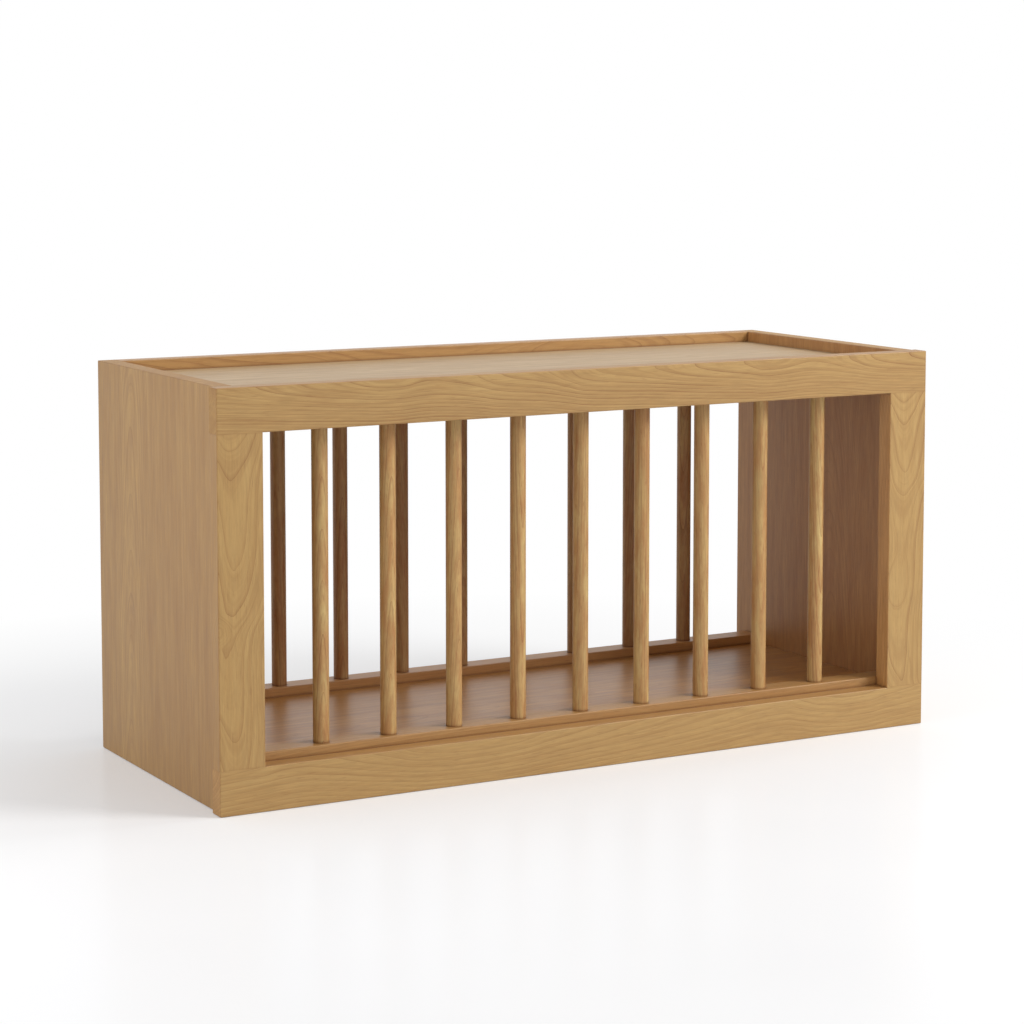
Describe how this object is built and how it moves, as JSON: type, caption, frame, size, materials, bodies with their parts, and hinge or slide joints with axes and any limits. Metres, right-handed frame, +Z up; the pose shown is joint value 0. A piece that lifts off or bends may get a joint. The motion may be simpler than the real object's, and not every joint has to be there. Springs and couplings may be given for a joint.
{
  "type": "plate rack",
  "caption": "Open wooden case whose upright dowels, in a front and a back row, hold plates on edge; its rimmed top is a tray.",
  "frame": {"origin": "on the surface the rack stands on, under the middle of its outer box", "axes": "+X along the rack to the right as seen from the front, +Y from the front to the back, +Z up"},
  "size_m": [0.7714, 0.3048, 0.381],
  "materials": {
    "frame_wood": "clear satin lacquer on light brown wood",
    "side_wood": "clear satin lacquer on light brown veneer, grain upright",
    "panel_wood": "clear satin lacquer on light brown veneer, grain along the rack",
    "rail_wood": "clear satin lacquer on light brown wood",
    "dowel_wood": "clear satin lacquer on turned light brown wood",
    "screw_steel": "zinc plated",
    "pin_wood": "raw beech"
  },
  "bodies": {
    "root": {"left_side_panel": "side_wood", "right_side_panel": "side_wood", "top_panel": "panel_wood", "bottom_panel": "panel_wood", "face_top_rail": "frame_wood", "face_bottom_rail": "frame_wood", "face_left_stile": "frame_wood", "face_right_stile": "frame_wood", "back_top_rail": "rail_wood", "back_bottom_rail": "rail_wood", "front_lower_dowel_rail": "rail_wood", "front_upper_dowel_rail": "rail_wood", "back_lower_dowel_rail": "rail_wood", "back_upper_dowel_rail": "rail_wood", "face_frame_screws": "screw_steel", "back_rail_screws": "screw_steel", "lower_dowel_rail_screws": "screw_steel", "upper_dowel_rail_screws": "screw_steel", "frame_pins": "pin_wood", "front_dowel_1": "dowel_wood", "front_dowel_2": "dowel_wood", "front_dowel_3": "dowel_wood", "front_dowel_4": "dowel_wood", "front_dowel_5": "dowel_wood", "front_dowel_6": "dowel_wood", "front_dowel_7": "dowel_wood", "front_dowel_8": "dowel_wood", "front_dowel_9": "dowel_wood", "back_dowel_1": "dowel_wood", "back_dowel_2": "dowel_wood", "back_dowel_3": "dowel_wood", "back_dowel_4": "dowel_wood", "back_dowel_5": "dowel_wood", "back_dowel_6": "dowel_wood", "back_dowel_7": "dowel_wood", "back_dowel_8": "dowel_wood", "back_dowel_9": "dowel_wood"}
  },
  "joints": []
}
